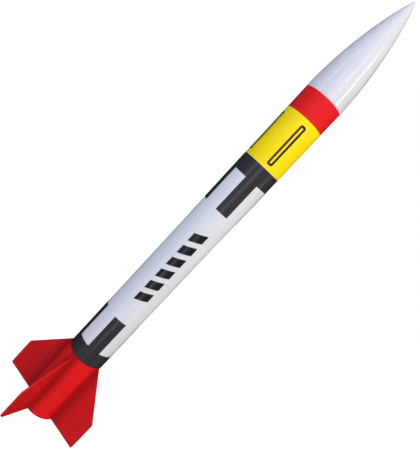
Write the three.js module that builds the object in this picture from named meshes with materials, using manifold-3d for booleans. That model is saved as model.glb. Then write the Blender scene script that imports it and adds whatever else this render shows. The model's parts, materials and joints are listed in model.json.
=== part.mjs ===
// Small model rocket: paper airframe, four flat fins, hollow moulded nose cone and an 18 mm motor mount.
// Units are millimetres. The rocket stands on its tail at z = 0 with its axis on +Z.
// Azimuths are in degrees about the axis, from -Y towards +X, so a fin stands at 0, 90, 180 and 270.

import * as THREE from 'three';
import { mergeVertices } from 'three/addons/utils/BufferGeometryUtils.js';
import Module from 'manifold-3d';

const wasm = await Module();
wasm.setup();

// Airframe
const TUBE_RADIUS = 20.8;
const TUBE_WALL = 0.53;
const TUBE_BORE = TUBE_RADIUS - TUBE_WALL;
const TUBE_LENGTH = 422.65;
const TOTAL_HEIGHT = 540.7;
const FACETS = 72;
const MOUNT_FACETS = 48;
const SMALL_FACETS = 32;
const LUG_FACETS = 24;
const GAP = 0.3;

// Nose cone: a short parallel base, then a blunt ogive
const NOSE_BASE_Z = TUBE_LENGTH + GAP;
const NOSE_PARALLEL_TOP_Z = 425;
const NOSE_POWER = 1.76;
const NOSE_FULLNESS = 0.84;
const NOSE_WALL = 1.2;
const NOSE_TIP_WALL = 4 * NOSE_WALL;
const NOSE_FACETS = 40;
const NOSE_STEPS = { outside: 13, inside: 6 };
const NOSE_STEP_BUNCHING = 1.1;
const SHOULDER_LENGTH = 36;
const SHOULDER_RADIUS = TUBE_BORE - GAP;

// Plug that closes the shoulder, with the screw eye in its boss
const PLUG_THICKNESS = 3;
const PLUG_BOSS_RADIUS = 3.2;
const PLUG_BOSS_HEIGHT = 10;
const EYE_WIRE_RADIUS = 0.8;
const EYE_RADIUS = 3.3;
const EYE_NECK = 1;
const SCREW_COVER = 1.5;

// Fins, as a root chord on the tube and a tip chord, both square to the tail
const FIN_ROOT_CHORD = 76.85;
const FIN_TIP_CHORD = 33.04;
const FIN_SPAN = 36.53;
const FIN_THICKNESS = 2.4;
const FIN_EDGE_ROUND = 0.5;
const FIN_AZIMUTHS = [0, 90, 180, 270];

// Launch lug, a short tube for a 3.2 mm launch rod
const LUG_AZIMUTH = 225;
const LUG_RADIUS = 2.6;
const LUG_BORE = 2;
const LUG_LENGTH = 50.8;
const LUG_BOTTOM_Z = 150;

// Motor mount, all recessed above the tail plane
const MOTOR_RADIUS = 8.75;
const MOTOR_LENGTH = 70;
const MOTOR_TAIL_Z = 4;
const MOTOR_WALL = 2.2;
const MOUNT_BORE = 9.05;
const MOUNT_RADIUS = 9.4;
const MOUNT_TAIL_Z = 10;
const MOUNT_LENGTH = 76;
const RING_THICKNESS = 3;
const RING_RADIUS = TUBE_BORE - GAP;
const RING_BORE = MOUNT_RADIUS + GAP;
const REAR_RING_Z = 14;
const FRONT_RING_Z = 64;
const THRUST_RING_LENGTH = 6;
const THRUST_RING_BORE = 7.4;
const THRUST_RING_RADIUS = MOUNT_BORE - 0.2;
const THRUST_RING_Z = 76.6;

// Motor filling, from the tail forwards
const NOZZLE_RECESS = 1;
const NOZZLE_LENGTH = 12;
const NOZZLE_THROAT_RADIUS = 1.5;
const NOZZLE_MOUTH_RADIUS = 4;
const NOZZLE_CONE_LENGTH = 4;
const GRAIN_LENGTH = 32;
const DELAY_LENGTH = 12;
const CAP_LENGTH = 8;
const FILLING_GAP = 0.1;

// Motor hook, a sprung strip that lies along the mount and turns in at both ends
const HOOK_AZIMUTH = 45;
const HOOK_THICKNESS = 0.7;
const HOOK_WIDTH = 3.2;
const HOOK_INNER = MOUNT_RADIUS + GAP;
const HOOK_PIVOT_Z = 75.2;
const HOOK_MOTOR_PLAY = 1.2;
const HOOK_LIP_TOP_Z = MOTOR_TAIL_Z - HOOK_MOTOR_PLAY;
const HOOK_LIP_REACH = 6.4;
const HOOK_TAB_REACH = 6.9;
const HOOK_TRAVEL_DEGREES = 4;
const HOOK_SLOT_MARGIN = 0.5;
const HOOK_SLOT_OVERRUN = 1;

// Paper pad for the recovery line, folded thickest in its middle
const ANCHOR_AZIMUTH = 135;
const ANCHOR_Z = [344, 372];
const ANCHOR_HALF_WIDTH = 11;
const ANCHOR_EDGE_THICKNESS = 0.45;
const ANCHOR_CORE_Z = [348, 368];
const ANCHOR_CORE_HALF_WIDTH = 7.5;
const ANCHOR_CORE_THICKNESS = 0.9;

// Soft packing of the recovery bay, loose in the tube
const WADDING_Z = [236, 276];
const WADDING_RADIUS = 17;
const CANOPY_Z = [280, 360];
const CANOPY_RADIUS = 16.5;
const PACKING_ROUND = 2.5;

// Self-adhesive trim, carried just clear of the tube
const TRIM_INNER = TUBE_RADIUS + 0.05;
const TRIM_OUTER = TRIM_INNER + 0.15;
const LOWER_RING_Z = [77.7, 95.0];
const LOWER_BARS_TOP_Z = 136.5;
const UPPER_RING_Z = [322.6, 339.8];
const UPPER_BARS_BOTTOM_Z = 281.6;
const BAR_WIDTH_DEGREES = 38.6;
const BAR_AZIMUTHS = [27, 117, 207, 303.9];
const SLOT_MARK_Z = [344.5, 391.2];
const SLOT_MARK_WIDTH = 6.2;
const SLOT_MARK_LINE = 2.1;
const SLOT_MARK_ROUNDNESS = 0.6;
const SLOT_MARK_AZIMUTHS = [30.2, 120.2, 210.2, 307.1];
const SIDE_MARK_Z = [163, 257];
const SIDE_MARK_AZIMUTH = 28;
const SIDE_MARK_WIDTH = 13;
const SIDE_MARK_BLOCKS = 6;
const SIDE_MARK_SLANT = 6;
const SIDE_MARK_SPACING = 6;

const PAINT_WHITE = new THREE.MeshStandardMaterial({ color: 0xe9e6e8, roughness: 0.25, metalness: 0 });
const PAINT_RED = new THREE.MeshStandardMaterial({ color: 0xd71e26, roughness: 0.25, metalness: 0 });
const VINYL_BLACK = new THREE.MeshStandardMaterial({ color: 0x3a383b, roughness: 0.35, metalness: 0 });
const NOSE_WHITE = new THREE.MeshStandardMaterial({ color: 0xe6e7ee, roughness: 0.15, metalness: 0 });
const KRAFT_PAPER = new THREE.MeshStandardMaterial({ color: 0xb8925f, roughness: 0.85, metalness: 0 });
const FIBRE_BOARD = new THREE.MeshStandardMaterial({ color: 0xc9b48c, roughness: 0.9, metalness: 0 });
const WHITE_PAPER = new THREE.MeshStandardMaterial({ color: 0xe6e2d8, roughness: 0.9, metalness: 0 });
const SPRING_STEEL = new THREE.MeshStandardMaterial({ color: 0xb4b8bc, roughness: 0.3, metalness: 1 });
const MOTOR_PAPER = new THREE.MeshStandardMaterial({ color: 0xa87c4c, roughness: 0.7, metalness: 0 });
const CLAY = new THREE.MeshStandardMaterial({ color: 0x9a948b, roughness: 0.95, metalness: 0 });
const BLACK_POWDER = new THREE.MeshStandardMaterial({ color: 0x2b2a29, roughness: 0.95, metalness: 0 });
const CANOPY_FILM = new THREE.MeshStandardMaterial({ color: 0xe8631c, roughness: 0.4, metalness: 0 });
const TISSUE = new THREE.MeshStandardMaterial({ color: 0xd9dcd6, roughness: 0.95, metalness: 0 });

const rocket = new THREE.Group();

function radians(degrees) {
  return THREE.MathUtils.degToRad(degrees);
}

// Adds a named piece to the rocket.
function addPiece(name, geometry, material) {
  const piece = new THREE.Mesh(geometry, material);
  piece.name = name;
  rocket.add(piece);
  return piece;
}

// Turns a piece that was drawn facing +X so that it faces an azimuth.
function faceAzimuth(geometry, azimuth) {
  return geometry.rotateZ(radians(azimuth - 90));
}

// Revolves a closed [radius, z] outline, listed anticlockwise, about the rocket's axis.
function revolve(outline, facets = FACETS) {
  const points = [...outline, outline[0]].map(([radius, z]) => new THREE.Vector2(radius, z));
  return new THREE.LatheGeometry(points, facets).rotateX(Math.PI / 2);
}

// A tube or disc between two radii and two heights.
function revolveRing(innerRadius, outerRadius, bottom, top, facets = FACETS) {
  return revolve([
    [innerRadius, bottom],
    [outerRadius, bottom],
    [outerRadius, top],
    [innerRadius, top],
  ], facets);
}

// A flat outline of [x, z] points, extruded to a thickness about y = 0.
function extrudeUpright(outline, thickness, bevel = 0) {
  const shape = new THREE.Shape(outline.map(([x, z]) => new THREE.Vector2(x, z)));
  return extrudeShape(shape, thickness, bevel);
}

function extrudeShape(shape, thickness, bevel = 0) {
  const geometry = new THREE.ExtrudeGeometry(shape, {
    depth: thickness - 2 * bevel,
    bevelEnabled: bevel > 0,
    bevelSize: bevel,
    bevelThickness: bevel,
    bevelOffset: -bevel,
    bevelSegments: 2,
    curveSegments: 4,
  });
  return geometry.translate(0, 0, bevel - thickness / 2).rotateX(Math.PI / 2);
}

function toSolid(geometry) {
  const bare = geometry.clone();
  bare.deleteAttribute('normal');
  bare.deleteAttribute('uv');
  const merged = mergeVertices(bare, 1e-4);
  return new wasm.Manifold(new wasm.Mesh({
    numProp: 3,
    vertProperties: new Float32Array(merged.attributes.position.array),
    triVerts: new Uint32Array(merged.index.array),
  }));
}

function toGeometry(solid) {
  const mesh = solid.getMesh();
  const geometry = new THREE.BufferGeometry();
  geometry.setAttribute('position', new THREE.BufferAttribute(new Float32Array(mesh.vertProperties), 3));
  geometry.setIndex(new THREE.BufferAttribute(new Uint32Array(mesh.triVerts), 1));
  geometry.computeVertexNormals();
  return geometry;
}

function intersect(a, b) {
  return toGeometry(toSolid(a).intersect(toSolid(b)));
}

function subtract(a, b) {
  return toGeometry(toSolid(a).subtract(toSolid(b)));
}

function join(pieces) {
  return toGeometry(pieces.map(toSolid).reduce((whole, piece) => whole.add(piece)));
}

// Radius of the ogive at a height above its parallel base.
function noseRadius(z, length, baseRadius) {
  const share = Math.min(Math.max((z - NOSE_PARALLEL_TOP_Z) / length, 0), 1);
  return baseRadius * (1 - share ** NOSE_POWER) ** NOSE_FULLNESS;
}

// Points up the ogive, closer together towards the tip, ending on the axis.
function noseCurve(baseRadius, tipZ, steps) {
  const length = tipZ - NOSE_PARALLEL_TOP_Z;
  const curve = [];
  for (let step = 0; step < steps; step += 1) {
    const z = NOSE_PARALLEL_TOP_Z + length * Math.sin((step / steps) * (Math.PI / 2)) ** NOSE_STEP_BUNCHING;
    curve.push([noseRadius(z, length, baseRadius), z]);
  }
  curve.push([0, tipZ]);
  return curve;
}

function addNose() {
  const shoulderBottom = TUBE_LENGTH - SHOULDER_LENGTH;
  const boreRadius = SHOULDER_RADIUS - NOSE_WALL;
  const outside = [
    [SHOULDER_RADIUS, shoulderBottom],
    [SHOULDER_RADIUS, NOSE_BASE_Z],
    [TUBE_RADIUS, NOSE_BASE_Z],
    ...noseCurve(TUBE_RADIUS, TOTAL_HEIGHT, NOSE_STEPS.outside),
  ];
  const inside = noseCurve(boreRadius, TOTAL_HEIGHT - NOSE_TIP_WALL, NOSE_STEPS.inside).reverse();
  const bore = [[boreRadius, shoulderBottom]];
  addPiece('nose_cone', revolve([...outside, ...inside, ...bore], NOSE_FACETS), NOSE_WHITE);

  const plugRadius = boreRadius - GAP;
  const plugTop = shoulderBottom + PLUG_THICKNESS;
  const bossTop = shoulderBottom + PLUG_BOSS_HEIGHT;
  const screwTop = bossTop - SCREW_COVER;
  const screwHole = EYE_WIRE_RADIUS + GAP;
  const plug = revolve([
    [0, screwTop + GAP],
    [screwHole, screwTop + GAP],
    [screwHole, shoulderBottom],
    [plugRadius, shoulderBottom],
    [plugRadius, plugTop],
    [PLUG_BOSS_RADIUS, plugTop],
    [PLUG_BOSS_RADIUS, bossTop],
    [0, bossTop],
  ], NOSE_FACETS);
  addPiece('nose_base_plug', plug, PAINT_WHITE);

  const eyeTop = shoulderBottom - EYE_NECK;
  const eyeCentre = eyeTop - EYE_RADIUS;
  const eye = new THREE.TorusGeometry(EYE_RADIUS, EYE_WIRE_RADIUS, 6, 20);
  eye.rotateX(Math.PI / 2).translate(0, 0, eyeCentre);
  const screw = new THREE.CylinderGeometry(EYE_WIRE_RADIUS, EYE_WIRE_RADIUS, screwTop - eyeTop, 8);
  screw.rotateX(Math.PI / 2).translate(0, 0, (screwTop + eyeTop) / 2);
  addPiece('nose_screw_eye', join([eye, screw]), SPRING_STEEL);
}

function addAirframe() {
  addPiece('body_tube', revolveRing(TUBE_BORE, TUBE_RADIUS, 0, TUBE_LENGTH), PAINT_WHITE);

  const root = TUBE_RADIUS + GAP;
  const tip = TUBE_RADIUS + FIN_SPAN;
  const outline = [
    [root, 0],
    [tip, 0],
    [tip, FIN_TIP_CHORD],
    [root, FIN_ROOT_CHORD],
  ];
  FIN_AZIMUTHS.forEach((azimuth, index) => {
    const fin = extrudeUpright(outline, FIN_THICKNESS, FIN_EDGE_ROUND);
    addPiece(`fin_${index + 1}`, faceAzimuth(fin, azimuth), PAINT_RED);
  });

  const lug = revolveRing(LUG_BORE, LUG_RADIUS, LUG_BOTTOM_Z, LUG_BOTTOM_Z + LUG_LENGTH, LUG_FACETS);
  lug.translate(TUBE_RADIUS + GAP + LUG_RADIUS, 0, 0);
  addPiece('launch_lug', faceAzimuth(lug, LUG_AZIMUTH), PAINT_WHITE);
}

// One layer of a pad that is glued inside the tube, drawn facing +X.
function padLayer(halfWidth, thickness, [bottom, top]) {
  const outer = TUBE_BORE - GAP;
  const reach = outer + 1;
  const outline = [[0, bottom], [reach, bottom], [reach, top], [0, top]];
  const block = extrudeUpright(outline, halfWidth * 2);
  return intersect(revolveRing(outer - thickness, outer, bottom, top), block);
}

// Folded paper pad that holds the end of the recovery line.
function addLineAnchor() {
  const edge = padLayer(ANCHOR_HALF_WIDTH, ANCHOR_EDGE_THICKNESS, ANCHOR_Z);
  const core = padLayer(ANCHOR_CORE_HALF_WIDTH, ANCHOR_CORE_THICKNESS, ANCHOR_CORE_Z);
  addPiece('shock_cord_anchor', faceAzimuth(join([edge, core]), ANCHOR_AZIMUTH), WHITE_PAPER);
}

// A round bundle with eased ends, in the middle of the tube.
function bundle(radius, [bottom, top]) {
  return revolve([
    [0, bottom],
    [radius - PACKING_ROUND, bottom],
    [radius, bottom + PACKING_ROUND],
    [radius, top - PACKING_ROUND],
    [radius - PACKING_ROUND, top],
    [0, top],
  ], SMALL_FACETS);
}

function addRecoveryPacking() {
  addPiece('recovery_wadding', bundle(WADDING_RADIUS, WADDING_Z), TISSUE);
  addPiece('packed_canopy', bundle(CANOPY_RADIUS, CANOPY_Z), CANOPY_FILM);
}

// A slot through a ring or tube wall, on the hook's side.
function hookSlot(reach, bottom, top) {
  const halfWidth = HOOK_WIDTH / 2 + HOOK_SLOT_MARGIN;
  const start = MOUNT_BORE - 2 * HOOK_SLOT_OVERRUN;
  const outline = [[start, bottom], [reach, bottom], [reach, top], [start, top]];
  return faceAzimuth(extrudeUpright(outline, halfWidth * 2), HOOK_AZIMUTH);
}

function addMotorMount() {
  const mountTop = MOUNT_TAIL_Z + MOUNT_LENGTH;
  const tube = revolveRing(MOUNT_BORE, MOUNT_RADIUS, MOUNT_TAIL_Z, mountTop, MOUNT_FACETS);
  const overrun = HOOK_SLOT_OVERRUN;
  const tabSlot = hookSlot(MOUNT_RADIUS + overrun, HOOK_PIVOT_Z - overrun, HOOK_PIVOT_Z + overrun);
  addPiece('motor_mount_tube', subtract(tube, tabSlot), KRAFT_PAPER);

  const rings = [['rear_centering_ring', REAR_RING_Z], ['front_centering_ring', FRONT_RING_Z]];
  rings.forEach(([name, z]) => {
    const travel = (HOOK_PIVOT_Z - z) * Math.sin(radians(HOOK_TRAVEL_DEGREES));
    const reach = HOOK_INNER + HOOK_THICKNESS + travel + HOOK_SLOT_MARGIN;
    const ring = revolveRing(RING_BORE, RING_RADIUS, z, z + RING_THICKNESS, MOUNT_FACETS);
    addPiece(name, subtract(ring, hookSlot(reach, z - overrun, z + RING_THICKNESS + overrun)), FIBRE_BOARD);
  });

  const thrustTop = THRUST_RING_Z + THRUST_RING_LENGTH;
  const thrustSpan = [THRUST_RING_Z, thrustTop];
  const thrustRing = revolveRing(THRUST_RING_BORE, THRUST_RING_RADIUS, ...thrustSpan, MOUNT_FACETS);
  addPiece('thrust_ring', thrustRing, KRAFT_PAPER);

  const outer = HOOK_INNER + HOOK_THICKNESS;
  const lipBottom = HOOK_LIP_TOP_Z - HOOK_THICKNESS;
  const hook = extrudeUpright([
    [HOOK_LIP_REACH, lipBottom],
    [outer, lipBottom],
    [outer, HOOK_PIVOT_Z + HOOK_THICKNESS / 2],
    [HOOK_TAB_REACH, HOOK_PIVOT_Z + HOOK_THICKNESS / 2],
    [HOOK_TAB_REACH, HOOK_PIVOT_Z - HOOK_THICKNESS / 2],
    [HOOK_INNER, HOOK_PIVOT_Z - HOOK_THICKNESS / 2],
    [HOOK_INNER, HOOK_LIP_TOP_Z],
    [HOOK_LIP_REACH, HOOK_LIP_TOP_Z],
  ], HOOK_WIDTH);
  addPiece('motor_hook', faceAzimuth(hook, HOOK_AZIMUTH), SPRING_STEEL);
}

function disc(radius, bottom, top) {
  return revolve([[0, bottom], [radius, bottom], [radius, top], [0, top]], SMALL_FACETS);
}

// Solid-fuel motor: paper casing, clay nozzle, fuel, delay and a clay cap over the ejection charge.
function addMotor() {
  const bore = MOTOR_RADIUS - MOTOR_WALL;
  const packed = bore - FILLING_GAP;
  const motorTop = MOTOR_TAIL_Z + MOTOR_LENGTH;
  const casing = revolveRing(bore, MOTOR_RADIUS, MOTOR_TAIL_Z, motorTop, MOUNT_FACETS);
  addPiece('motor_casing', casing, MOTOR_PAPER);

  const nozzleBottom = MOTOR_TAIL_Z + NOZZLE_RECESS;
  const nozzleTop = MOTOR_TAIL_Z + NOZZLE_LENGTH;
  const nozzle = revolve([
    [NOZZLE_THROAT_RADIUS, nozzleBottom + NOZZLE_CONE_LENGTH],
    [NOZZLE_MOUTH_RADIUS, nozzleBottom],
    [packed, nozzleBottom],
    [packed, nozzleTop],
    [NOZZLE_THROAT_RADIUS, nozzleTop],
  ], SMALL_FACETS);
  addPiece('motor_nozzle', nozzle, CLAY);

  let bottom = nozzleTop;
  const fillings = [
    ['propellant_grain', GRAIN_LENGTH, BLACK_POWDER],
    ['delay_charge', DELAY_LENGTH, BLACK_POWDER],
    ['ejection_cap', CAP_LENGTH, CLAY],
  ];
  fillings.forEach(([name, length, material]) => {
    addPiece(name, disc(packed, bottom + FILLING_GAP, bottom + length), material);
    bottom += length;
  });
}

function trimShell([bottom, top]) {
  return revolveRing(TRIM_INNER, TRIM_OUTER, bottom, top);
}

// An upright wedge from the axis, wide enough to cut one bar out of a trim shell.
function barWedge(azimuth, [bottom, top]) {
  const reach = TUBE_RADIUS * 1.5;
  const half = radians(BAR_WIDTH_DEGREES / 2);
  const wedge = new THREE.Shape([
    new THREE.Vector2(0, 0),
    new THREE.Vector2(reach * Math.cos(half), -reach * Math.sin(half)),
    new THREE.Vector2(reach * Math.cos(half), reach * Math.sin(half)),
  ]);
  const geometry = new THREE.ExtrudeGeometry(wedge, { depth: top - bottom, bevelEnabled: false });
  return faceAzimuth(geometry.translate(0, 0, bottom), azimuth);
}

// A ring of trim with four bars that run from it along the tube.
function addRollPattern(name, ringSpan, barSpan) {
  const bars = BAR_AZIMUTHS.map((azimuth) => intersect(trimShell(barSpan), barWedge(azimuth, barSpan)));
  addPiece(name, join([trimShell(ringSpan), ...bars]), VINYL_BLACK);
}

// An upright box with rounded corners, as a shape or as a hole's path.
function roundedBox(Kind, halfWidth, bottom, top) {
  const radius = halfWidth * SLOT_MARK_ROUNDNESS;
  const path = new Kind();
  path.absarc(halfWidth - radius, bottom + radius, radius, -Math.PI / 2, 0, false);
  path.absarc(halfWidth - radius, top - radius, radius, 0, Math.PI / 2, false);
  path.absarc(radius - halfWidth, top - radius, radius, Math.PI / 2, Math.PI, false);
  path.absarc(radius - halfWidth, bottom + radius, radius, Math.PI, Math.PI * 1.5, false);
  path.closePath();
  return path;
}

// Cuts a shape, drawn as seen from outside the tube, out of a trim shell on one side of the tube.
function trimCutout(shape, span, azimuth) {
  const depth = TUBE_RADIUS;
  const cutter = extrudeShape(shape, depth).translate(0, -depth, 0);
  return intersect(trimShell(span), cutter.rotateZ(radians(azimuth)));
}

function addSlotMarks() {
  const [bottom, top] = SLOT_MARK_Z;
  const half = SLOT_MARK_WIDTH / 2;
  const line = SLOT_MARK_LINE;
  SLOT_MARK_AZIMUTHS.forEach((azimuth, index) => {
    const outline = roundedBox(THREE.Shape, half, bottom, top);
    outline.holes.push(roundedBox(THREE.Path, half - line, bottom + line, top - line));
    addPiece(`slot_mark_${index + 1}`, trimCutout(outline, SLOT_MARK_Z, azimuth), VINYL_BLACK);
  });
}

function addSideMarks() {
  const [bottom, top] = SIDE_MARK_Z;
  const pitch = (top - bottom - SIDE_MARK_SLANT + SIDE_MARK_SPACING) / SIDE_MARK_BLOCKS;
  const half = SIDE_MARK_WIDTH / 2;
  for (let block = 0; block < SIDE_MARK_BLOCKS; block += 1) {
    const low = bottom + block * pitch;
    const high = low + pitch - SIDE_MARK_SPACING;
    const shape = new THREE.Shape([
      new THREE.Vector2(-half, low),
      new THREE.Vector2(half, low + SIDE_MARK_SLANT),
      new THREE.Vector2(half, high + SIDE_MARK_SLANT),
      new THREE.Vector2(-half, high),
    ]);
    addPiece(`side_mark_${block + 1}`, trimCutout(shape, SIDE_MARK_Z, SIDE_MARK_AZIMUTH), VINYL_BLACK);
  }
}

addNose();
addAirframe();
addLineAnchor();
addRecoveryPacking();
addMotorMount();
addMotor();
addRollPattern('upper_roll_pattern', UPPER_RING_Z, [UPPER_BARS_BOTTOM_Z, UPPER_RING_Z[0] + 1]);
addRollPattern('lower_roll_pattern', LOWER_RING_Z, [LOWER_RING_Z[1] - 1, LOWER_BARS_TOP_Z]);
addSlotMarks();
addSideMarks();

export default rocket;
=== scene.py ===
"""Studio scene of a model rocket that stands on its tail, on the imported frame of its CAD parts."""

import json
import math

import bmesh
import bpy
from mathutils import Matrix, Vector

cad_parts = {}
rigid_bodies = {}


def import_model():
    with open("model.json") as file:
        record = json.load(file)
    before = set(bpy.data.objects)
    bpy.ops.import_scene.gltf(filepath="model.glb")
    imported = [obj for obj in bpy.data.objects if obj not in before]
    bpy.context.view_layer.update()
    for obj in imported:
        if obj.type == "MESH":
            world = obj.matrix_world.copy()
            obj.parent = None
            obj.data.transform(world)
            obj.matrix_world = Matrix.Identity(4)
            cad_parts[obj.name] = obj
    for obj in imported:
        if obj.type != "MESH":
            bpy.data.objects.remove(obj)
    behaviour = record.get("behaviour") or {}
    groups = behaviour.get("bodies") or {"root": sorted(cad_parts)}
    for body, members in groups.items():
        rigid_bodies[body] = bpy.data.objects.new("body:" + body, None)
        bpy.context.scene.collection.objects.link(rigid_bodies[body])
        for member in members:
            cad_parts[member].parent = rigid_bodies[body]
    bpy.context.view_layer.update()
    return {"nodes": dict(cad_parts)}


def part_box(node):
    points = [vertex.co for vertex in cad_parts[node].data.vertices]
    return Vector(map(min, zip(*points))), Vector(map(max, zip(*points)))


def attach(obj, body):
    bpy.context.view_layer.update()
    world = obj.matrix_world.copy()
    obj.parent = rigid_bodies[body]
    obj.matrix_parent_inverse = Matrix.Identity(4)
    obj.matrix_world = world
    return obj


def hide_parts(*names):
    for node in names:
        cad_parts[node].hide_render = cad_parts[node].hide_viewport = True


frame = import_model()

MM = 0.001
nodes = frame["nodes"]

# Driving sizes, read from the frame. Azimuths are degrees about +Z, from -Y towards +X.
tube_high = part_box("body_tube")[1]
nose_low, nose_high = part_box("nose_cone")
fin_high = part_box("fin_2")[1]
lug_low, lug_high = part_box("launch_lug")
casing_low, casing_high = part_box("motor_casing")
nozzle_low, nozzle_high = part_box("motor_nozzle")

TUBE_RADIUS = tube_high.x
TUBE_WALL = 0.53 * MM
TUBE_BORE = TUBE_RADIUS - TUBE_WALL
TUBE_TOP = tube_high.z

# Nose
NOSE_SEAM = TUBE_TOP + 0.08 * MM
NOSE_SHOULDER_RADIUS = TUBE_BORE - 0.3 * MM
NOSE_PARALLEL_TOP = 425 * MM
NOSE_POWER = 1.76
NOSE_FULLNESS = 0.84
NOSE_WALL = 1.2 * MM
NOSE_STEPS = 72
NOSE_INSIDE_STEPS = 16

# Fins, and the glue along their roots
FIN_TIP_CHORD = 33.04 * MM
FIN_THICKNESS = 2.4 * MM
FIN_SUNK = 0.2 * MM
FIN_ROOT_OVERRUN = 0.015
FIN_CORNER = 0.7 * MM
FIN_EDGE = 0.75 * MM  # Blender clamps this bevel, and 0.08 mm is built
FIN_AZIMUTHS = (0, 90, 180, 270)
FILLET_RADIUS = 1.6 * MM
FILLET_START = 0.3 * MM
FILLET_SUNK = 0.35 * MM
FILLET_TUCK = 0.1 * MM
FILLET_SHARES = (0, 0.4, 0.8, 0.95, 1)
FILLET_RUNOUT = 0.9
FILLET_SHRINK = 6
FILLET_ARC_STEPS = 8

# Launch lug
LUG_AZIMUTH = 225
LUG_RADIUS = 2.6 * MM
LUG_BORE = 2.0 * MM
LUG_STAND_OFF = 0.3 * MM
LUG_FILLET_REACH = 1.9 * MM
LUG_FILLET_INSET = 0.4 * MM

# Motor and its hook
HOOK_AZIMUTH = 45
HOOK_THICKNESS = 0.7 * MM
HOOK_INNER = 9.7 * MM
HOOK_LIP = 6.4 * MM
HOOK_TAB = 6.9 * MM
HOOK_HALF_WIDTH = 1.6 * MM
HOOK_CORNER = 0.55 * MM
HOOK_EDGE = 0.15 * MM  # Blender clamps this bevel, and 0.10 mm is built
CASING_WALL = 2.2 * MM
NOZZLE_THROAT = 1.5 * MM
NOZZLE_CONE = 4 * MM
NOZZLE_FLARE = 2.6 * MM
NOZZLE_STEPS = 6

# Rolled sheets
ROLL_CORE = 2 * MM
ROLL_AROUND = 28
ROLL_ROWS = 12
CANOPY_ACROSS_FLATS = 457 * MM
CANOPY_RIPPLE = 0.45 * MM
TISSUE_SIDE = 115 * MM
TISSUE_SQUARES = 4
TISSUE_RIPPLE = 0.8 * MM

# Bands and marks
TRIM_LIFT = 0.03 * MM
TRIM_THICKNESS = 0.12 * MM
TAIL_RED_TOP = 77.7 * MM
YELLOW_BAND = (339.8 * MM, 397.4 * MM)
BAR_AZIMUTHS = (27, 117, 207, 303.9)
BAR_WIDTH = 38.6
LOWER_RING = (77.7 * MM, 95.0 * MM)
LOWER_BARS = (95.0 * MM, 136.5 * MM)
UPPER_RING = (322.6 * MM, 339.8 * MM)
UPPER_BARS = (281.6 * MM, 322.6 * MM)
SLOT_MARK = (344.5 * MM, 391.2 * MM)
SLOT_MARK_WIDTH = 6.2 * MM
SLOT_MARK_LINE = 2.1 * MM
SLOT_MARK_AZIMUTHS = (30.2, 120.2, 210.2, 307.1)
SIDE_MARK = (163 * MM, 257 * MM)
SIDE_MARK_AZIMUTH = 28
SIDE_MARK_WIDTH = 13 * MM
SIDE_MARK_BLOCKS = 6
SIDE_MARK_SLANT = 6 * MM
SIDE_MARK_SPACING = 6 * MM

# Steps round a circle, and degrees between the points of a film
ROUND_STEPS = 192
MOTOR_STEPS = 96
LUG_STEPS = 64
FILM_STEP = 2.0

# Camera of the photograph
CAMERA_PLACE = Vector((0.1509, -0.4302, 0.3275))
CAMERA_TARGET = Vector((0.0009, 0.0003, 0.2632))
CAMERA_ROLL = 43.07
CAMERA_LENS = 37.45
CAMERA_CLIP_START = 0.01

# The lights stand round an azimuth close to the camera's, and face the rocket's middle.
LIGHT_AZIMUTH = 19.44
LIGHT_AIM = Vector((0, 0, 0.27))
RING_HEIGHT, RING_DISTANCE, RING_SIZE = 0.62, 1.6, (0.92, 1.35)
STRIP_HEIGHT, STRIP_DISTANCE, STRIP_LENGTH = 0.4, 1.5, 2.2
SKY_COLOUR = (0.97, 1.0, 1.1, 1)
SKY_STRENGTH = 0.38
FLOOR_RADIUS = 6
# The floor's glow at the rocket's foot, lower there as a painted shadow.
FLOOR_GLOW = 0.78
BACKDROP_RADIUS = 8
FLAG_DISTANCE = 3
FLAG_HEIGHTS = (-1, 4)
FLAG_STEP = 5
FLAG_START = 110
FLAG_STEPS = 29

WHITE = (0.73, 0.725, 0.73, 1)
RED = (0.77, 0.011, 0.013, 1)
# The tail's red, darkened for the fins as painted shade.
SHADED_FIN_RED = (0.63, 0.010, 0.012, 1)
YELLOW = (0.98, 0.745, 0.002, 1)
# The trims' dark grey, lightened by a painted reflection of the sky, which gloss doesn't see.
CHARCOAL_WITH_PAINTED_SHEEN = (0.038, 0.034, 0.037, 1)
MARK_BLACK = (0.016, 0.014, 0.016, 1)
KRAFT = (0.46, 0.29, 0.13, 1)
MOTOR_BROWN = (0.40, 0.21, 0.09, 1)
PAPER_WHITE = (0.78, 0.75, 0.68, 1)
BOARD_BROWN = (0.56, 0.44, 0.25, 1)
STEEL_GREY = (0.55, 0.56, 0.58, 1)
CLAY_GREY = (0.36, 0.33, 0.29, 1)
POWDER_BLACK = (0.03, 0.03, 0.03, 1)
CANOPY_ORANGE = (0.86, 0.16, 0.012, 1)
TISSUE_GREEN_WHITE = (0.74, 0.76, 0.72, 1)
TUBE_SPIRAL = 44 * MM
MOUNT_SPIRAL = 16 * MM
CASING_SPIRAL = 30 * MM

# Noise lies mostly between these values.
NOISE_LOW, NOISE_HIGH = 0.3, 0.7


def add_camera():
    camera = bpy.data.objects.new("camera", bpy.data.cameras.new("camera"))
    camera.data.lens = CAMERA_LENS
    camera.data.clip_start = CAMERA_CLIP_START
    bpy.context.scene.collection.objects.link(camera)
    aim = (CAMERA_TARGET - CAMERA_PLACE).to_track_quat("-Z", "Y").to_matrix()
    turned = aim @ Matrix.Rotation(math.radians(CAMERA_ROLL), 3, "Z")
    camera.matrix_world = Matrix.Translation(CAMERA_PLACE) @ turned.to_4x4()
    bpy.context.scene.camera = camera


# ---------------------------------------------------------------- mesh helpers


def on_azimuth(x, y, z, azimuth):
    """A point drawn with +X facing outwards, turned to face an azimuth."""
    turn = math.radians(azimuth - 90)
    return (
        x * math.cos(turn) - y * math.sin(turn),
        x * math.sin(turn) + y * math.cos(turn),
        z,
    )


def on_tube(arc, z, radius, azimuth):
    """A point on the tube at an arc length to the right of an azimuth, as seen from outside."""
    angle = math.radians(azimuth) + arc / TUBE_RADIUS
    return (radius * math.sin(angle), -radius * math.cos(angle), z)


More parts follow.
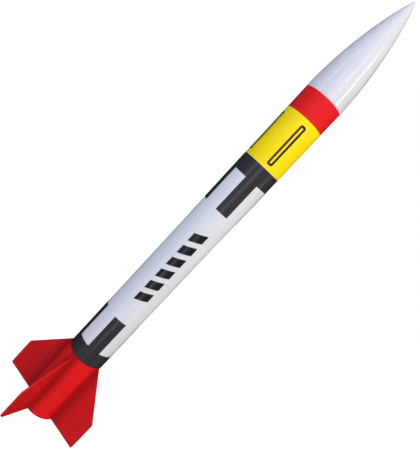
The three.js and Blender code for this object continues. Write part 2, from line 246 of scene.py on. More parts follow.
def make_piece(name, points, faces, materials, body, replaces=(), sharp=35):
    mesh = bpy.data.meshes.new(name)
    mesh.from_pydata(points, [], faces)
    bm = bmesh.new()
    bm.from_mesh(mesh)
    bmesh.ops.remove_doubles(bm, verts=bm.verts, dist=1e-7)
    bmesh.ops.recalc_face_normals(bm, faces=bm.faces)
    bm.to_mesh(mesh)
    bm.free()
    for material in materials:
        mesh.materials.append(material)
    mesh.shade_smooth()
    mesh.set_sharp_from_angle(angle=math.radians(sharp))
    piece = bpy.data.objects.new(name, mesh)
    bpy.context.scene.collection.objects.link(piece)
    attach(piece, body)
    if replaces:
        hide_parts(*replaces)
    return piece


def round_corners(outline, radius, steps=4):
    """The closed outline with each corner replaced by a short curve."""
    rounded = []
    for i, corner in enumerate(outline):
        corner = Vector(corner)
        before = Vector(outline[i - 1]) - corner
        after = Vector(outline[(i + 1) % len(outline)]) - corner
        cut = min(radius, before.length * 0.49, after.length * 0.49)
        start = corner + before.normalized() * cut
        end = corner + after.normalized() * cut
        for step in range(steps + 1):
            t = step / steps
            rounded.append(tuple(start * (1 - t) ** 2 + corner * 2 * t * (1 - t) + end * t * t))
    return rounded


def revolve(outline, steps=ROUND_STEPS, centre=(0, 0)):
    """Points and faces of a closed (radius, z) outline turned about an upright axis."""
    points = []
    for radius, z in outline:
        for step in range(steps):
            angle = 2 * math.pi * step / steps
            points.append((centre[0] + radius * math.cos(angle), centre[1] + radius * math.sin(angle), z))
    faces = []
    count = len(outline)
    for i in range(count):
        j = (i + 1) % count
        if outline[i][0] < 1e-9 and outline[j][0] < 1e-9:
            continue
        for step in range(steps):
            after = (step + 1) % steps
            corners = [i * steps + step, i * steps + after, j * steps + after, j * steps + step]
            faces.append(corners)
    return points, faces


def tube_outline(bore, radius, bottom, top, rounding=0.12 * MM):
    corners = [(bore, bottom), (radius, bottom), (radius, top), (bore, top)]
    return round_corners(corners, rounding, 3)


def prism(section, levels):
    """Points and faces of a section repeated at each level, where a level turns x and y into a point."""
    points = [level(x, y) for level in levels for x, y in section]
    count = len(section)
    faces = [list(range(count)), list(range((len(levels) - 1) * count, len(levels) * count))]
    for low in range(len(levels) - 1):
        for i in range(count):
            j = (i + 1) % count
            faces.append([low * count + i, low * count + j, (low + 1) * count + j, (low + 1) * count + i])
    return points, faces


def add_bevel(piece, width, segments=3, angle=30):
    bevel = piece.modifiers.new("edge", "BEVEL")
    bevel.width = width
    bevel.segments = segments
    bevel.limit_method = "ANGLE"
    bevel.angle_limit = math.radians(angle)
    bevel.harden_normals = True


def grid_faces(rows, columns, keep=lambda row, column: True):
    faces = []
    for row in range(rows - 1):
        for column in range(columns - 1):
            if keep(row, column):
                first = row * columns + column
                faces.append([first, first + 1, first + columns + 1, first + columns])
    return faces


# ------------------------------------------------------------ material helpers


class Nodes:
    """Builds one material's node tree, reading the surface in the object's own coordinates."""

    def __init__(self, name, colour, roughness, metallic=0.0):
        self.material = bpy.data.materials.new(name)
        self.material.use_nodes = True
        self.tree = self.material.node_tree
        self.shader = self.tree.nodes["Principled BSDF"]
        self.shader.inputs["Base Color"].default_value = colour
        self.shader.inputs["Roughness"].default_value = roughness
        self.shader.inputs["Metallic"].default_value = metallic
        self.coordinates = self.tree.nodes.new("ShaderNodeTexCoord").outputs["Object"]
        self.bumps = None

    def set(self, socket, value):
        self.shader.inputs[socket].default_value = value

    def link(self, output, target):
        self.tree.links.new(output, target)

    def math(self, operation, *values):
        node = self.tree.nodes.new("ShaderNodeMath")
        node.operation = operation
        for socket, value in zip(node.inputs, values):
            if isinstance(value, (int, float)):
                socket.default_value = value
            else:
                self.link(value, socket)
        return node.outputs[0]

    def axes(self):
        node = self.tree.nodes.new("ShaderNodeSeparateXYZ")
        self.link(self.coordinates, node.inputs[0])
        return node.outputs

    def noise(self, stretch, scale, detail=3):
        mapping = self.tree.nodes.new("ShaderNodeMapping")
        mapping.inputs["Scale"].default_value = stretch
        self.link(self.coordinates, mapping.inputs["Vector"])
        node = self.tree.nodes.new("ShaderNodeTexNoise")
        node.inputs["Scale"].default_value = scale
        node.inputs["Detail"].default_value = detail
        self.link(mapping.outputs[0], node.inputs["Vector"])
        return node.outputs["Fac"]

    def spread(self, value, low, high):
        node = self.tree.nodes.new("ShaderNodeMapRange")
        node.inputs["From Min"].default_value = NOISE_LOW
        node.inputs["From Max"].default_value = NOISE_HIGH
        node.inputs["To Min"].default_value = low
        node.inputs["To Max"].default_value = high
        self.link(value, node.inputs["Value"])
        return node.outputs["Result"]

    def mix(self, factor, first, second, blend="MIX"):
        node = self.tree.nodes.new("ShaderNodeMix")
        node.data_type = "RGBA"
        node.blend_type = blend
        colours = [socket for socket in node.inputs if socket.type == "RGBA"]
        for socket, value in ((node.inputs["Factor"], factor), (colours[0], first), (colours[1], second)):
            if isinstance(value, (int, float, tuple)):
                socket.default_value = value
            else:
                self.link(value, socket)
        return next(socket for socket in node.outputs if socket.type == "RGBA")

    def painted_root_shade(self, reach, depth):
        """1 away from the fins' roots, down to 1 - depth beside them: painted shade where fin and tube meet.
        """
        x, y, _ = self.axes()
        across = self.math("MINIMUM", self.math("ABSOLUTE", x), self.math("ABSOLUTE", y))
        along = self.math("MAXIMUM", self.math("ABSOLUTE", x), self.math("ABSOLUTE", y))
        rise = self.math("MAXIMUM", self.math("SUBTRACT", along, TUBE_RADIUS), across)
        node = self.tree.nodes.new("ShaderNodeMapRange")
        node.interpolation_type = "SMOOTHSTEP"
        node.inputs["From Min"].default_value = FIN_THICKNESS / 2
        node.inputs["From Max"].default_value = reach
        node.inputs["To Min"].default_value = 1 - depth
        node.inputs["To Max"].default_value = 1
        self.link(rise, node.inputs["Value"])
        return node.outputs["Result"]

    def vary(self, colour, pattern, amount):
        """The colour, darkened here and there."""
        return self.darken(colour, self.spread(pattern, 1 - amount, 1))

    def darken(self, colour, dark):
        grey = self.tree.nodes.new("ShaderNodeCombineColor")
        for socket in grey.inputs:
            self.link(dark, socket)
        return self.mix(1.0, colour, grey.outputs[0], "MULTIPLY")

    def colour(self, colour):
        self.link(colour, self.shader.inputs["Base Color"])

    def roughness(self, value):
        self.link(value, self.shader.inputs["Roughness"])

    def bump(self, height, distance, strength=1.0):
        node = self.tree.nodes.new("ShaderNodeBump")
        node.inputs["Distance"].default_value = distance
        node.inputs["Strength"].default_value = strength
        self.link(height, node.inputs["Height"])
        if self.bumps is not None:
            self.link(self.bumps, node.inputs["Normal"])
        self.bumps = node.outputs["Normal"]
        self.link(self.bumps, self.shader.inputs["Normal"])


def gloss_paint(name, colour, roughness=0.24, gloss=0.2):
    """Sprayed enamel: an even colour with a faint orange peel under a low gloss."""
    paint = Nodes(name, colour, roughness)
    paint.set("Specular IOR Level", gloss)
    clouds = paint.noise((1, 1, 1), 38)
    paint.colour(paint.vary(colour, clouds, 0.03))
    paint.roughness(paint.spread(paint.noise((1, 1, 1), 120), roughness - 0.04, roughness + 0.05))
    paint.bump(paint.noise((1, 1, 1), 600, 2), 0.003 * MM)
    return paint


def spiral_groove(surface, pitch, width=0.02):
    """1 in the seam that runs round a spiral-wound paper tube, and 0 elsewhere."""
    x, y, z = surface.axes()
    turn = surface.math("DIVIDE", surface.math("ARCTAN2", y, x), 2 * math.pi)
    rise = surface.math("DIVIDE", z, pitch)
    share = surface.math("FRACT", surface.math("ADD", turn, rise))
    return surface.math("LESS_THAN", share, width)


def tube_paint():
    """White enamel with a red tail, a yellow band and a red band under the nose cone."""
    paint = gloss_paint("tube_paint", WHITE)
    z = paint.axes()[2]
    clouds = paint.noise((1, 1, 1), 38)
    above_tail = paint.math("GREATER_THAN", z, TAIL_RED_TOP)
    above_white = paint.math("GREATER_THAN", z, YELLOW_BAND[0])
    above_yellow = paint.math("GREATER_THAN", z, YELLOW_BAND[1])
    # The red tail is darkened beside the fin roots as painted shade.
    colour = paint.mix(above_tail, paint.darken(RED, paint.painted_root_shade(10 * MM, 0.4)), WHITE)
    colour = paint.mix(above_white, colour, YELLOW)
    colour = paint.mix(above_yellow, colour, RED)
    colour = paint.vary(colour, clouds, 0.03)
    paint.colour(paint.vary(colour, paint.noise((1, 1, 0.02), 320, 2), 0.05))
    paint.bump(spiral_groove(paint, TUBE_SPIRAL), -0.02 * MM, 0.3)
    return paint.material


def fin_paint():
    """The tail's red enamel over balsa, darkened as painted shade, whose grain shows faintly and runs
    upright.
    """
    paint = gloss_paint("fin_paint", SHADED_FIN_RED, 0.28)
    grain = paint.noise((1, 1, 0.08), 420, 4)
    # The fins and their glue fillets are darkened towards their roots as painted shade.
    colour = paint.darken(SHADED_FIN_RED, paint.painted_root_shade(14 * MM, 0.35))
    paint.colour(paint.vary(colour, grain, 0.08))
    paint.bump(grain, 0.01 * MM, 0.5)
    return paint.material


def nose_plastic():
    """Polished white plastic with fine marks along its length and a parting line."""
    plastic = gloss_paint("nose_plastic", WHITE, 0.16, 0.5)
    streaks = plastic.noise((1, 1, 0.015), 420, 3)
    plastic.colour(plastic.vary(WHITE, streaks, 0.08))
    plastic.bump(streaks, 0.06 * MM, 0.7)
    x = plastic.axes()[0]
    parting = plastic.math("LESS_THAN", plastic.math("ABSOLUTE", x), 0.09 * MM)
    plastic.bump(parting, 0.03 * MM, 0.6)
    return plastic.material


def vinyl(name, colour):
    film = Nodes(name, colour, 0.3)
    film.set("Coat Weight", 0.25)
    film.set("Coat Roughness", 0.12)
    film.colour(film.vary(colour, film.noise((1, 1, 1), 700, 4), 0.25))
    film.roughness(film.spread(film.noise((1, 1, 0.2), 90), 0.24, 0.38))
    film.bump(film.noise((1, 1, 1), 1500, 2), 0.004 * MM)
    return film.material


def paper(name, colour, pitch, fibre=500):
    """Bare wound or sheet paper with fibres and, on a tube, its spiral seam."""
    sheet = Nodes(name, colour, 0.85)
    fibres = sheet.noise((1, 1, 0.25), fibre, 6)
    sheet.colour(sheet.vary(colour, fibres, 0.35))
    sheet.roughness(sheet.spread(fibres, 0.75, 0.95))
    sheet.bump(fibres, 0.04 * MM, 0.7)
    if pitch:
        sheet.bump(spiral_groove(sheet, pitch, 0.03), -0.06 * MM, 0.8)
    return sheet.material


def fibre_board():
    board = Nodes("fibre_board", BOARD_BROWN, 0.9)
    flecks = board.noise((1, 1, 3), 900, 5)
    board.colour(board.vary(BOARD_BROWN, flecks, 0.4))
    board.bump(flecks, 0.05 * MM, 0.6)
    return board.material


def spring_steel():
    steel = Nodes("spring_steel", STEEL_GREY, 0.3, 1.0)
    lines = steel.noise((1, 1, 0.05), 1500, 3)
    steel.colour(steel.vary(STEEL_GREY, lines, 0.25))
    steel.roughness(steel.spread(lines, 0.22, 0.42))
    steel.bump(lines, 0.006 * MM, 0.5)
    return steel.material


def canopy_plastic():
    """Thin orange film, with a low gloss, finely creased from folding."""
    film = Nodes("canopy_film", CANOPY_ORANGE, 0.35)
    film.set("Specular IOR Level", 0.4)
    creases = film.noise((1, 1, 0.35), 260, 5)
    film.colour(film.vary(CANOPY_ORANGE, creases, 0.3))
    film.roughness(film.spread(creases, 0.25, 0.5))
    film.bump(creases, 0.25 * MM, 0.8)
    return film.material


def tissue_paper():
    """Soft flame-proofed tissue with a pressed dimple pattern."""
    tissue = Nodes("tissue", TISSUE_GREEN_WHITE, 0.95)
    fibres = tissue.noise((1, 1, 1), 900, 6)
    tissue.colour(tissue.vary(TISSUE_GREEN_WHITE, fibres, 0.15))
    tissue.bump(fibres, 0.08 * MM, 0.8)
    tissue.bump(tissue.noise((1, 1, 1), 240, 2), 0.4 * MM, 0.7)
    return tissue.material


def pressed_powder(name, colour):
    powder = Nodes(name, colour, 0.95)
    grains = powder.noise((1, 1, 1), 1400, 6)
    powder.colour(powder.vary(colour, grains, 0.45))
    powder.bump(grains, 0.15 * MM, 0.8)
    return powder.material


# ------------------------------------------------------------------- the pieces


def nose_radius(z, tip, base):
    share = min(max((z - NOSE_PARALLEL_TOP) / (tip - NOSE_PARALLEL_TOP), 0), 1)
    return base * (1 - share**NOSE_POWER) ** NOSE_FULLNESS


def nose_curve(tip, base, steps):
    """The nose's (radius, z) outline up to its tip, with its points bunched towards the tip."""
    rise = tip - NOSE_PARALLEL_TOP
    heights = [NOSE_PARALLEL_TOP + rise * math.sin(step / steps * math.pi / 2) for step in range(steps)]
    return [(nose_radius(z, tip, base), z) for z in heights] + [(0, tip)]


def add_nose(plastic):
    bottom = nose_low.z
    bore = NOSE_SHOULDER_RADIUS - NOSE_WALL
    tip = nose_high.z
    lead_in = 0.8 * MM
    edge = 0.25 * MM
    outside = [
        (bore, bottom),
        (NOSE_SHOULDER_RADIUS - lead_in * 0.4, bottom),
        (NOSE_SHOULDER_RADIUS, bottom + lead_in),
        (NOSE_SHOULDER_RADIUS, NOSE_SEAM),
        (TUBE_RADIUS - edge, NOSE_SEAM),
        (TUBE_RADIUS - edge * 0.3, NOSE_SEAM + edge * 0.3),
        (TUBE_RADIUS, NOSE_SEAM + edge),
    ]
    inside = nose_curve(tip - 4 * NOSE_WALL, bore, NOSE_INSIDE_STEPS)[::-1]
    points, faces = revolve(outside + nose_curve(tip, TUBE_RADIUS, NOSE_STEPS) + inside)
    make_piece("nose_cone_shell", points, faces, [plastic], "nose", ["nose_cone"], 50)


def add_body_tube(paint, kraft):
    outline = tube_outline(TUBE_BORE, TUBE_RADIUS, 0, TUBE_TOP)
    points, faces = revolve(outline)
    materials = [paint, kraft]
    tube = make_piece("painted_tube", points, faces, materials, "airframe", ["body_tube"], 50)
    bare_radius = TUBE_BORE + TUBE_WALL * 0.3
    for face in tube.data.polygons:
        if math.hypot(face.center.x, face.center.y) < bare_radius:
            face.material_index = 1


def add_fin(number, azimuth, paint):
    root = TUBE_RADIUS - FIN_SUNK
    tip = fin_high.x
    root_chord = fin_high.z
    outline = [
        (root, 0),
        (tip, 0),
        (tip, FIN_TIP_CHORD),
        (root, root_chord + (root_chord - FIN_TIP_CHORD) * FIN_ROOT_OVERRUN),
    ]
    outline = round_corners(outline, FIN_CORNER, 3)
    half = FIN_THICKNESS / 2
    sides = [lambda x, z, y=y: on_azimuth(x, y, z, azimuth) for y in (-half, half)]
    points, faces = prism(outline, sides)
    name = f"fin_{number}"
    fin = make_piece("painted_" + name, points, faces, [paint], "airframe", [name], 40)
    add_bevel(fin, FIN_EDGE, 4, 60)


def fillet_section(radius, half):
    """Half of a glue fillet's section, from the tube's surface up onto the fin's face."""
    centre = (TUBE_RADIUS + radius, half + radius)
    section = []
    for step in range(FILLET_ARC_STEPS + 1):
        angle = math.pi + (math.pi / 2) * step / FILLET_ARC_STEPS
        section.append((centre[0] + radius * math.cos(angle), centre[1] + radius * math.sin(angle)))
    return section


def add_fin_fillet(number, azimuth, paint):
    """Glue smoothed along both sides of the fin's root, running out into the fin at its front end."""
    half = FIN_THICKNESS / 2
    arc = fillet_section(FILLET_RADIUS, half - FILLET_TUCK)
    sunk = TUBE_RADIUS - FILLET_SUNK
    left = [(x, -y) for x, y in arc[::-1]]
    section = [(sunk, arc[0][1]), *arc, *left, (sunk, left[-1][1])]
    levels = []
    length = fin_high.z - FILLET_START
    for share in FILLET_SHARES:
        shrink = 1 if share < FILLET_RUNOUT else 1 - (share - FILLET_RUNOUT) * FILLET_SHRINK

        def level(x, y, z=FILLET_START + share * length, shrink=shrink):
            lift = max(x - TUBE_RADIUS, 0) * shrink
            return on_azimuth(min(x, TUBE_RADIUS) + lift, y * shrink, z, azimuth)

        levels.append(level)
    points, faces = prism(section, levels)
    make_piece(f"fin_fillet_{number}", points, faces, [paint], "airframe", sharp=60)


def add_launch_lug(paint):
    offset = TUBE_RADIUS + LUG_STAND_OFF + LUG_RADIUS
    centre = on_azimuth(offset, 0, 0, LUG_AZIMUTH)
    outline = tube_outline(LUG_BORE, LUG_RADIUS, lug_low.z, lug_high.z, 0.1 * MM)
    points, faces = revolve(outline, LUG_STEPS, centre[:2])
    make_piece("painted_lug", points, faces, [paint], "airframe", ["launch_lug"], 50)
    reach = LUG_FILLET_REACH
    half_section = [
        (TUBE_RADIUS - FILLET_SUNK, reach),
        (TUBE_RADIUS - 0.02 * MM, reach),
        (TUBE_RADIUS + 0.25 * MM, reach * 0.55),
        (offset - LUG_RADIUS * 0.8, reach * 0.72),
    ]
    section = [(x, -y) for x, y in half_section] + half_section[::-1]
    levels = [
        lambda x, y, z=z: on_azimuth(x, y, z, LUG_AZIMUTH)
        for z in (lug_low.z + LUG_FILLET_INSET, (lug_low.z + lug_high.z) / 2, lug_high.z - LUG_FILLET_INSET)
    ]
    points, faces = prism(section, levels)
    make_piece("lug_fillet", points, faces, [paint], "airframe", sharp=70)


def wrap(name, points, faces, material, replaces):
    """A sticker on the tube: flat faces between (arc, z, azimuth) points, given the vinyl's thickness."""
    count = len(points)
    radii = (TUBE_RADIUS + TRIM_LIFT, TUBE_RADIUS + TRIM_LIFT + TRIM_THICKNESS)
    shaped = [on_tube(arc, z, radius, azimuth) for radius in radii for arc, z, azimuth in points]
    solid = [face[::-1] for face in faces] + [[corner + count for corner in face] for face in faces]
    edges = {(start, end) for face in faces for start, end in zip(face, face[1:] + face[:1])}
    solid += [[start, end, end + count, start + count] for start, end in edges if (end, start) not in edges]
    return make_piece(name, shaped, solid, [material], "airframe", replaces, 50)


def add_roll_pattern(name, ring, bars, film):
    """A ring round the tube with four bars that run from it."""
    edges = {step * FILM_STEP for step in range(round(360 / FILM_STEP))}
    half = BAR_WIDTH / 2
    for azimuth in BAR_AZIMUTHS:
        edges.update({(azimuth - half) % 360, (azimuth + half) % 360})
    columns = sorted(edges)
    heights = sorted({*ring, *bars})

    def in_bar(azimuth):
        return any(abs((azimuth - centre + 180) % 360 - 180) < half for centre in BAR_AZIMUTHS)

    def keep(row, column):
        in_ring = ring[0] <= heights[row] < ring[1]
        return in_ring or in_bar((columns[column] + columns[column + 1]) / 2)

    columns.append(360.0)
    points = [(0, z, azimuth) for z in heights for azimuth in columns]
    last = len(columns) - 1
    faces = [
        [corner - last if corner % len(columns) == last else corner for corner in face]
        for face in grid_faces(len(heights), len(columns), keep)
    ]
    wrap(name + "_film", points, faces, film, [name])


def add_slot_mark(number, azimuth, film):
    """A long rounded slot drawn as an outline."""
    low, high = SLOT_MARK
    loops = []
    for inset in (0, SLOT_MARK_LINE / 2, SLOT_MARK_LINE):
        half = SLOT_MARK_WIDTH / 2 - inset
        corners = [(-half, low + inset), (half, low + inset), (half, high - inset), (-half, high - inset)]
        loops.append(round_corners(corners, half * 0.75, 6))
    count = len(loops[0])
    points = [(x, z, azimuth) for loop in loops for x, z in loop]
    faces = []
    for row in range(len(loops) - 1):
        low_row, high_row = row * count, (row + 1) * count
        for i in range(count):
            j = (i + 1) % count
            faces.append([low_row + i, low_row + j, high_row + j, high_row + i])
    name = f"slot_mark_{number}"
    wrap(name + "_film", points, faces, film, [name])


def add_side_mark(number, film):
    """One block of a column of slanted stripes."""
    low, high = SIDE_MARK
    pitch = (high - low - SIDE_MARK_SLANT + SIDE_MARK_SPACING) / SIDE_MARK_BLOCKS
    bottom = low + (number - 1) * pitch
    height = pitch - SIDE_MARK_SPACING
    across, up = 13, 5
    points = []
    for row in range(up):
        for column in range(across):
            share = column / (across - 1)
            arc = (share - 0.5) * SIDE_MARK_WIDTH
            z = bottom + share * SIDE_MARK_SLANT + height * row / (up - 1)
            points.append((arc, z, SIDE_MARK_AZIMUTH))
    name = f"side_mark_{number}"
    wrap(name + "_film", points, grid_faces(up, across), film, [name])


def add_motor_hook(steel):
    low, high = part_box("motor_hook")
    outer = HOOK_INNER + HOOK_THICKNESS
    profile = [
        (HOOK_LIP, low.z),
        (outer, low.z),
        (outer, high.z),
        (HOOK_TAB, high.z),
        (HOOK_TAB, high.z - HOOK_THICKNESS),
        (HOOK_INNER, high.z - HOOK_THICKNESS),
        (HOOK_INNER, low.z + HOOK_THICKNESS),
        (HOOK_LIP, low.z + HOOK_THICKNESS),
    ]
    profile = round_corners(profile, HOOK_CORNER, 4)
    sides = [lambda x, z, y=y: on_azimuth(x, y, z, HOOK_AZIMUTH) for y in (-HOOK_HALF_WIDTH, HOOK_HALF_WIDTH)]
    points, faces = prism(profile, sides)
    hook = make_piece("sprung_hook", points, faces, [steel], "hook", ["motor_hook"], 40)
    add_bevel(hook, HOOK_EDGE, 2, 60)


def add_motor(casing_paper, clay):
    radius = casing_high.x
    bore = radius - CASING_WALL
    outline = tube_outline(bore, radius, casing_low.z, casing_high.z, 0.35 * MM)
    points, faces = revolve(outline, MOTOR_STEPS)
    make_piece("wound_casing", points, faces, [casing_paper], "motor", ["motor_casing"], 50)

    packed = nozzle_high.x
    bottom = nozzle_low.z
    cone = [(NOZZLE_THROAT, nozzle_high.z), (NOZZLE_THROAT, bottom + NOZZLE_CONE)]
    for step in range(NOZZLE_STEPS):
        share = (step + 1) / NOZZLE_STEPS
        cone.append((NOZZLE_THROAT + NOZZLE_FLARE * share**1.5, bottom + NOZZLE_CONE * (1 - share)))
    rim = [(packed - 0.4 * MM, bottom), (packed, bottom + 0.3 * MM), (packed, nozzle_high.z)]
    points, faces = revolve(cone + rim, MOTOR_STEPS)
    make_piece("clay_nozzle", points, faces, [clay], "motor", ["motor_nozzle"], 40)


def add_rolled_sheet(name, node, flat_area, ripple, body, material):
    """A sheet folded into a strip and rolled up inside its node's solid, whose turns ripple together."""
    low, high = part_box(node)
    outer = high.x - 2 * ripple
    height = high.z - low.z - 4 * ripple
    pitch = math.pi * (outer**2 - ROLL_CORE**2) * height / flat_area
    turns = (outer - ROLL_CORE) / pitch
    columns = int(turns * ROLL_AROUND)
    points = []
    for row in range(ROLL_ROWS):
        share = row / (ROLL_ROWS - 1)
        for column in range(columns + 1):
            angle = 2 * math.pi * column / ROLL_AROUND
            radius = outer - pitch * column / ROLL_AROUND
            wide_wave = math.sin(3 * angle + 5 * share)
            fine_wave = 0.6 * math.sin(7 * angle - 11 * share + 1)
            pinch = 1 - 0.08 * math.cos(2 * math.pi * share) ** 8
            radius = (radius + ripple * (wide_wave + fine_wave) * radius / outer) * pinch
            edge = (2 * share - 1) * ripple * math.sin(2.3 * angle + 0.04 * angle**1.4)
            z = low.z + 2 * ripple + height * share + edge
            points.append((radius * math.sin(angle), -radius * math.cos(angle), z))
    faces = grid_faces(ROLL_ROWS, columns + 1)
    return make_piece(name, points, faces, [material], body, [node], 60)


def add_recovery_packing(canopy_film, tissue):
    """A hexagonal canopy, 18 inches across its flats, and four squares of tissue under it."""
    across = CANOPY_ACROSS_FLATS
    corners = across / math.cos(math.pi / 6)
    canopy_area = 0.75 * across * corners
    canopy = add_rolled_sheet(
        "rolled_canopy", "packed_canopy", canopy_area, CANOPY_RIPPLE, "canopy", canopy_film
    )
    side = TISSUE_SIDE
    strip = TISSUE_SQUARES * side
    wadding = add_rolled_sheet(
        "crumpled_wadding", "recovery_wadding", side * strip, TISSUE_RIPPLE, "wadding", tissue
    )


def add_screw_eye(steel):
    """One wire: a nearly closed ring that turns up into its screw."""
    low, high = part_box("nose_screw_eye")
    wire = (high.y - low.y) / 2
    ring = (high.x - low.x) / 2 - wire
    centre = low.z + wire + ring
    curve = bpy.data.curves.new("screw_eye_wire", "CURVE")
    curve.dimensions = "3D"
    curve.bevel_depth = wire * 0.98
    curve.bevel_resolution = 6
    curve.use_fill_caps = True
    spline = curve.splines.new("POLY")
    path = []
    for step in range(41):
        angle = math.radians(110 + 338 * step / 40)
        path.append((ring * math.cos(angle), 0, centre + ring * math.sin(angle)))
    path.append((0, 0, centre + ring + 1.2 * wire))
    path.append((0, 0, high.z))
    spline.points.add(len(path) - 1)
    for point, place in zip(spline.points, path):
        point.co = (*place, 1)
    curve.materials.append(steel)
    eye = bpy.data.objects.new("screw_eye_wire", curve)
    bpy.context.scene.collection.objects.link(eye)
    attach(eye, "nose")
    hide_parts("nose_screw_eye")


def dress_node(name, material, bevel=0.0):
    """Keeps a CAD piece and gives it a material, welded corners and, where asked, eased edges."""
    node = nodes[name]
    node.data.materials.clear()
    node.data.materials.append(material)
    weld = node.modifiers.new("weld", "WELD")
    weld.merge_threshold = 1e-6
    if bevel:
        add_bevel(node, bevel, 2, 50)


# -------------------------------------------------------------------- the stage


def add_softbox(name, azimuth, height, distance, size, glow):
    """A soft light at an azimuth from the lights' own, as bright as its glow."""
    angle = math.radians(LIGHT_AZIMUTH + azimuth)
    place = Vector((distance * math.sin(angle), -distance * math.cos(angle), height))
    brightest = max(glow)
    light = bpy.data.lights.new(name, "AREA")
    light.shape = "RECTANGLE"
    light.size, light.size_y = size
    light.energy = brightest * math.pi * size[0] * size[1]
    light.color = [channel / brightest for channel in glow]
    lamp = bpy.data.objects.new(name, light)
    lamp.location = place
    lamp.rotation_euler = (LIGHT_AIM - place).to_track_quat("-Z", "Y").to_euler()
    bpy.context.scene.collection.objects.link(lamp)
    return lamp


def add_lights():
    """A ring of soft light, cool on the left and warm on the right, and strips that shine only in gloss."""
    ring = {
        "left": (-66, (0.16, 0.32, 0.70)),
        "front_left": (-33, (0.86, 1.08, 1.58)),
        "front": (0, (1.52, 1.60, 1.88)),
        "front_right": (33, (1.66, 1.53, 1.48)),
        "right": (66, (1.32, 1.14, 0.90)),
        "rear_right": (110, (0.60, 0.52, 0.42)),
        "rear": (180, (1.20, 1.22, 1.25)),
        "rear_left": (-125, (0.55, 0.58, 0.66)),
    }
    for name, (azimuth, glow) in ring.items():
        box = add_softbox(name, azimuth, RING_HEIGHT, RING_DISTANCE, RING_SIZE, glow)
        hide_from_rays(box, "glossy")
    over = add_softbox("top", 20, 2.6, 0.3, (1.8, 1.8), (0.75, 0.88, 0.92))
    high = add_softbox("high_right", 40, 1.9, 1.3, (1.4, 1.0), (2.56, 2.50, 2.15))
    hide_from_rays(over, "glossy")
    hide_from_rays(high, "glossy")

    films = [piece for piece in bpy.data.objects if piece.name.endswith("_film")]
    nose = [bpy.data.objects["nose_cone_shell"]]
    steel_pieces = [bpy.data.objects["sprung_hook"], bpy.data.objects["screw_eye_wire"]]
    strips = {
        "film_left": (-30, 0.32, (1.0, 1.2, 2.0), films),
        "film_front": (8, 0.22, (2.2, 1.9, 1.8), films),
        "film_right": (72, 0.22, (1.6, 1.5, 1.5), films),
        "nose_left": (-56, 0.12, (3.0, 3.3, 4.0), nose),
        "nose_front": (22, 0.14, (5.0, 4.8, 5.0), nose),
        "nose_right": (68, 0.20, (8.0, 7.6, 7.6), nose),
        "steel_left": (-50, 0.7, (1.8, 1.9, 2.1), steel_pieces),
        "steel_right": (60, 0.7, (2.4, 2.3, 2.3), steel_pieces),
        "steel_rear": (180, 0.9, (1.4, 1.4, 1.5), steel_pieces),
    }
    for name, (azimuth, width, glow, pieces) in strips.items():
        strip = add_softbox(name, azimuth, STRIP_HEIGHT, STRIP_DISTANCE, (width, STRIP_LENGTH), glow)
        shine_on(strip, pieces)
    shine_on(add_softbox("steel_under", 0, -1.4, 0.3, (1.8, 1.8), (1.3, 1.3, 1.35)), steel_pieces)


def shine_on(light, pieces):
    """Makes a light shine only in the gloss of these pieces."""
    hide_from_rays(light, "diffuse")
    light.light_linking.receiver_collection = bpy.data.collections.new(light.name)
    for piece in pieces:
        light.light_linking.receiver_collection.objects.link(piece)


def hide_from_rays(piece, *rays):
    for ray in rays:
        setattr(piece, f"visible_{ray}", False)


def add_floor():
    mesh = bpy.data.meshes.new("floor")
    bm = bmesh.new()
    bmesh.ops.create_circle(bm, cap_ends=True, radius=FLOOR_RADIUS, segments=96)
    bm.to_mesh(mesh)
    bm.free()
    floor = bpy.data.objects.new("floor", mesh)
    bpy.context.scene.collection.objects.link(floor)
    sweep = Nodes("floor_white", (0.4, 0.4, 0.4, 1), 0.9)
    sweep.set("Specular IOR Level", 0)
    sweep.set("Emission Color", (1, 1, 1, 1))
    x, y, _ = sweep.axes()
    # The glow is lowest at the rocket's foot and reaches full white further out: a painted shadow round the
    # foot.
    away = sweep.math("SQRT", sweep.math("ADD", sweep.math("POWER", x, 2.0), sweep.math("POWER", y, 2.0)))
    glow = sweep.math("MINIMUM", sweep.math("ADD", away, FLOOR_GLOW), 1.0)
    sweep.link(glow, sweep.shader.inputs["Emission Strength"])
    mesh.materials.append(sweep.material)
    hide_from_rays(floor, "diffuse", "glossy", "shadow")


def add_surroundings():
    """A white backdrop that only the camera sees, and an even sky for light."""
    world = bpy.data.worlds.new("studio")
    bpy.context.scene.world = world
    world.use_nodes = True
    world.node_tree.nodes["Background"].inputs["Color"].default_value = SKY_COLOUR
    world.node_tree.nodes["Background"].inputs["Strength"].default_value = SKY_STRENGTH
    world.cycles_visibility.glossy = False

    mesh = bpy.data.meshes.new("backdrop")
    bm = bmesh.new()
    bmesh.ops.create_uvsphere(bm, u_segments=48, v_segments=24, radius=BACKDROP_RADIUS)
    bm.to_mesh(mesh)
    bm.free()
    backdrop = bpy.data.objects.new("backdrop", mesh)
    bpy.context.scene.collection.objects.link(backdrop)
    glow = Nodes("backdrop_white", (0, 0, 0, 1), 1.0)
    glow.set("Emission Color", (1, 1, 1, 1))
    glow.set("Emission Strength", 1.0)
    mesh.materials.append(glow.material)
    hide_from_rays(backdrop, "diffuse", "glossy", "transmission", "shadow")


def add_flag():
    """A dark screen behind the rocket that only gloss sees, for the thin dark line down each edge."""
    turns = [FLAG_START + FLAG_STEP * step for step in range(FLAG_STEPS)]
    points = []
    for height in FLAG_HEIGHTS:
        for turn in turns:
            angle = math.radians(LIGHT_AZIMUTH + turn)
            points.append((FLAG_DISTANCE * math.sin(angle), -FLAG_DISTANCE * math.cos(angle), height))
    mesh = bpy.data.meshes.new("flag")
    mesh.from_pydata(points, [], grid_faces(2, len(turns)))
    black = Nodes("flag_black", (0.005, 0.005, 0.005, 1), 1.0)
    black.set("Specular IOR Level", 0)
    mesh.materials.append(black.material)
    flag = bpy.data.objects.new("flag", mesh)
    bpy.context.scene.collection.objects.link(flag)
    hide_from_rays(flag, "camera", "diffuse", "transmission", "shadow")


add_camera()

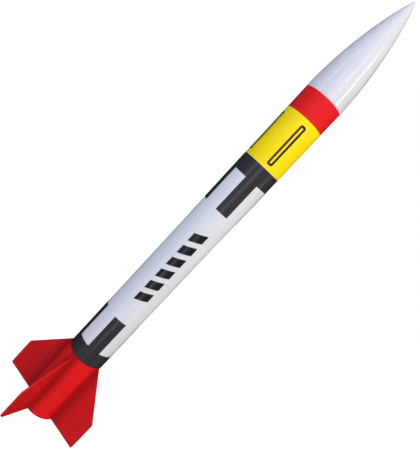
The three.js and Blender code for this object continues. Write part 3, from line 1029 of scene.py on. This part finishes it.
paint_white = gloss_paint("lug_paint", WHITE).material
paint_tube = tube_paint()
paint_fin = fin_paint()
plastic_nose = nose_plastic()
film_black = vinyl("trim_black", CHARCOAL_WITH_PAINTED_SHEEN)
film_mark = vinyl("mark_black", MARK_BLACK)
kraft_bore = paper("kraft_bore", KRAFT, TUBE_SPIRAL)
kraft_tube = paper("kraft_tube", KRAFT, MOUNT_SPIRAL)
casing_paper = paper("motor_paper", MOTOR_BROWN, CASING_SPIRAL)
white_paper = paper("white_paper", PAPER_WHITE, None, 700)
board = fibre_board()
steel = spring_steel()
clay = pressed_powder("clay", CLAY_GREY)
powder = pressed_powder("black_powder", POWDER_BLACK)
plug_plastic = gloss_paint("plug_plastic", WHITE, 0.35).material

add_nose(plastic_nose)
add_body_tube(paint_tube, kraft_bore)
for index, fin_azimuth in enumerate(FIN_AZIMUTHS, 1):
    add_fin(index, fin_azimuth, paint_fin)
    add_fin_fillet(index, fin_azimuth, paint_fin)
add_launch_lug(paint_white)
add_roll_pattern("upper_roll_pattern", UPPER_RING, UPPER_BARS, film_black)
add_roll_pattern("lower_roll_pattern", LOWER_RING, LOWER_BARS, film_black)
for index, mark_azimuth in enumerate(SLOT_MARK_AZIMUTHS, 1):
    add_slot_mark(index, mark_azimuth, film_mark)
for index in range(1, SIDE_MARK_BLOCKS + 1):
    add_side_mark(index, film_mark)
add_motor_hook(steel)
add_motor(casing_paper, clay)
add_screw_eye(steel)
add_recovery_packing(canopy_plastic(), tissue_paper())
dress_node("nose_base_plug", plug_plastic, 0.3 * MM)
dress_node("shock_cord_anchor", white_paper)
dress_node("motor_mount_tube", kraft_tube)
dress_node("rear_centering_ring", board, 0.2 * MM)
dress_node("front_centering_ring", board, 0.2 * MM)
dress_node("thrust_ring", kraft_tube, 0.2 * MM)
dress_node("propellant_grain", powder, 0.2 * MM)
dress_node("delay_charge", powder, 0.2 * MM)
dress_node("ejection_cap", clay, 0.2 * MM)

add_floor()
add_surroundings()
add_flag()
add_lights()
bpy.context.scene.view_settings.view_transform = "Standard"
